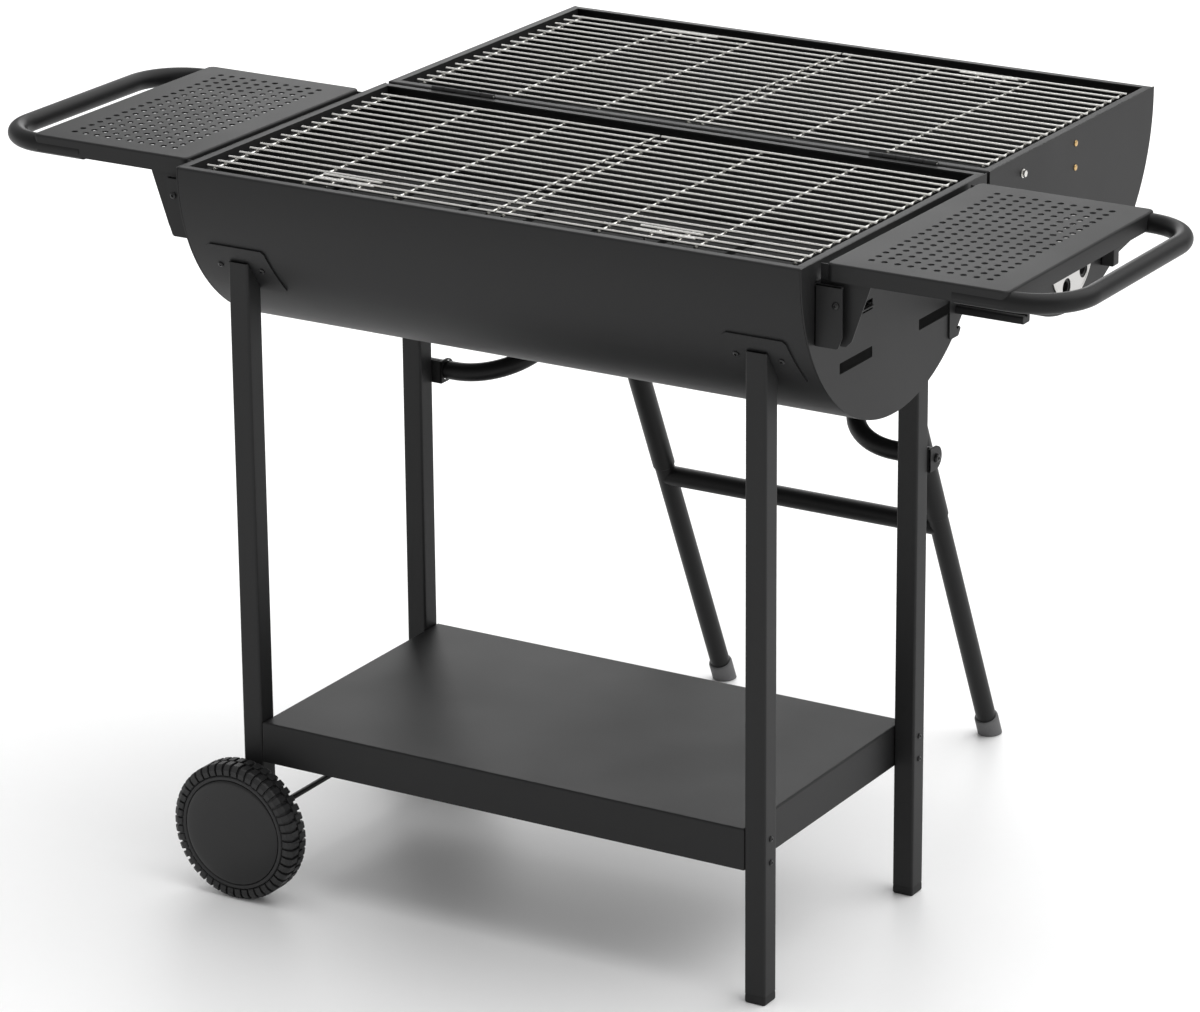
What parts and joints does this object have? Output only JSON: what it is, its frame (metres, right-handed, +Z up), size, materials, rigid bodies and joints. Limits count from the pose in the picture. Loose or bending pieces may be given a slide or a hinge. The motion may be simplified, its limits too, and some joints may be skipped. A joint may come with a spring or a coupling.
{
  "type": "opening barrel charcoal grill",
  "caption": "Barrel charcoal grill on a wheeled cart; its lid turns right over to make a second grill bowl, with perforated side tables, shelf and rear prop frame.",
  "frame": {"origin": "on the floor, in the middle of the whole object's footprint", "axes": "+X along the barrel towards the user's right, away from the wheels; +Y from the front to the back, where the lid opens; +Z up"},
  "size_m": [1.5954, 1.0544, 0.9956],
  "materials": {
    "black_coating": "satin powder coat, fine grain",
    "tube_coating": "smooth semi-gloss powder coat",
    "bright_wire": "bright nickel plate",
    "stainless_steel": "rolled stainless sheet",
    "zinc_steel": "bright zinc plate",
    "wheel_plastic": "moulded, lightly textured",
    "hub_plastic": "smooth satin moulding",
    "end_plastic": "moulded",
    "brass": "plain rivets",
    "foot_rubber": "dull rubber"
  },
  "bodies": {
    "cart": {"barrel_shell": "black_coating", "barrel_end_left": "black_coating", "barrel_end_right": "black_coating", "hinge_barrel_leaf_left": "black_coating", "hinge_barrel_leaf_right": "black_coating", "hinge_pin_left": "zinc_steel", "hinge_pin_right": "zinc_steel", "barrel_charcoal_tray": "black_coating", "leg_front_left": "black_coating", "leg_front_right": "black_coating", "leg_rear_left": "black_coating", "leg_rear_right": "black_coating", "leg_mount_front_left": "black_coating", "leg_mount_front_right": "black_coating", "leg_mount_rear_left": "black_coating", "leg_mount_rear_right": "black_coating", "leg_cap_front_right": "end_plastic", "leg_cap_rear_right": "end_plastic", "shelf": "black_coating", "axle": "zinc_steel", "side_table_left": "black_coating", "side_table_right": "black_coating", "table_handle_left": "tube_coating", "table_handle_right": "tube_coating", "table_bracket_front_left": "black_coating", "table_bracket_front_right": "black_coating", "table_bracket_rear_left": "black_coating", "table_bracket_rear_right": "black_coating", "side_hook": "black_coating", "support_ear_left": "black_coating", "support_ear_right": "black_coating", "support_pivot_bolt_left": "zinc_steel", "support_pivot_bolt_right": "zinc_steel"},
    "lid": {"lid_shell": "black_coating", "lid_end_left": "black_coating", "lid_end_right": "black_coating", "hinge_lid_leaf_left": "black_coating", "hinge_lid_leaf_right": "black_coating", "damper_stud_left": "stainless_steel", "damper_stud_right": "stainless_steel", "lid_charcoal_tray": "black_coating", "lid_handle": "tube_coating", "lid_handle_bracket_left": "black_coating", "lid_handle_bracket_right": "black_coating", "lid_end_bolt": "zinc_steel"},
    "barrel_grate_left": {"barrel_grate_left": "bright_wire"},
    "barrel_grate_right": {"barrel_grate_right": "bright_wire"},
    "lid_grate_left": {"lid_grate_left": "bright_wire"},
    "lid_grate_right": {"lid_grate_right": "bright_wire"},
    "damper_left": {"damper_left": "stainless_steel"},
    "damper_right": {"damper_right": "stainless_steel"},
    "support_frame": {"support_arm_left": "tube_coating", "support_arm_right": "tube_coating", "support_lower_frame": "tube_coating", "support_foot_left": "foot_rubber", "support_foot_right": "foot_rubber"},
    "wheel_front": {"wheel_front": "wheel_plastic", "hub_cap_front": "hub_plastic"},
    "wheel_rear": {"wheel_rear": "wheel_plastic", "hub_cap_rear": "hub_plastic"}
  },
  "joints": [
    {"name": "lid_hinge", "type": "hinge", "parent": "cart", "child": "lid", "pos_m": [0, 0.00131, 0.992], "axis": [-1, 0, 0], "range_deg": [-180, 0]},
    {"name": "support_frame_pivot", "type": "hinge", "parent": "cart", "child": "support_frame", "pos_m": [0, -0.02169, 0.604], "axis": [1, 0, 0], "range_deg": [0, 8]},
    {"name": "wheel_front_spin", "type": "hinge", "parent": "cart", "child": "wheel_front", "pos_m": [-0.382, -0.50319, 0.095], "axis": [0, 1, 0], "continuous": true},
    {"name": "wheel_rear_spin", "type": "hinge", "parent": "cart", "child": "wheel_rear", "pos_m": [-0.382, -0.00319, 0.095], "axis": [0, 1, 0], "continuous": true},
    {"name": "damper_left_turn", "type": "hinge", "parent": "lid", "child": "damper_left", "pos_m": [-0.4586, 0.24931, 0.818], "axis": [1, 0, 0], "range_deg": [-30, 30]},
    {"name": "damper_right_turn", "type": "hinge", "parent": "lid", "child": "damper_right", "pos_m": [0.4586, 0.24931, 0.818], "axis": [1, 0, 0], "range_deg": [-30, 30]},
    {"name": "barrel_grate_left_lift", "type": "slide", "parent": "cart", "child": "barrel_grate_left", "axis": [0, 0, 1], "range_m": [0, 0.12]},
    {"name": "barrel_grate_right_lift", "type": "slide", "parent": "cart", "child": "barrel_grate_right", "axis": [0, 0, 1], "range_m": [0, 0.12]},
    {"name": "lid_grate_left_lift", "type": "slide", "parent": "lid", "child": "lid_grate_left", "axis": [0, 0, 1], "range_m": [0, 0.12]},
    {"name": "lid_grate_right_lift", "type": "slide", "parent": "lid", "child": "lid_grate_right", "axis": [0, 0, 1], "range_m": [0, 0.12]}
  ]
}
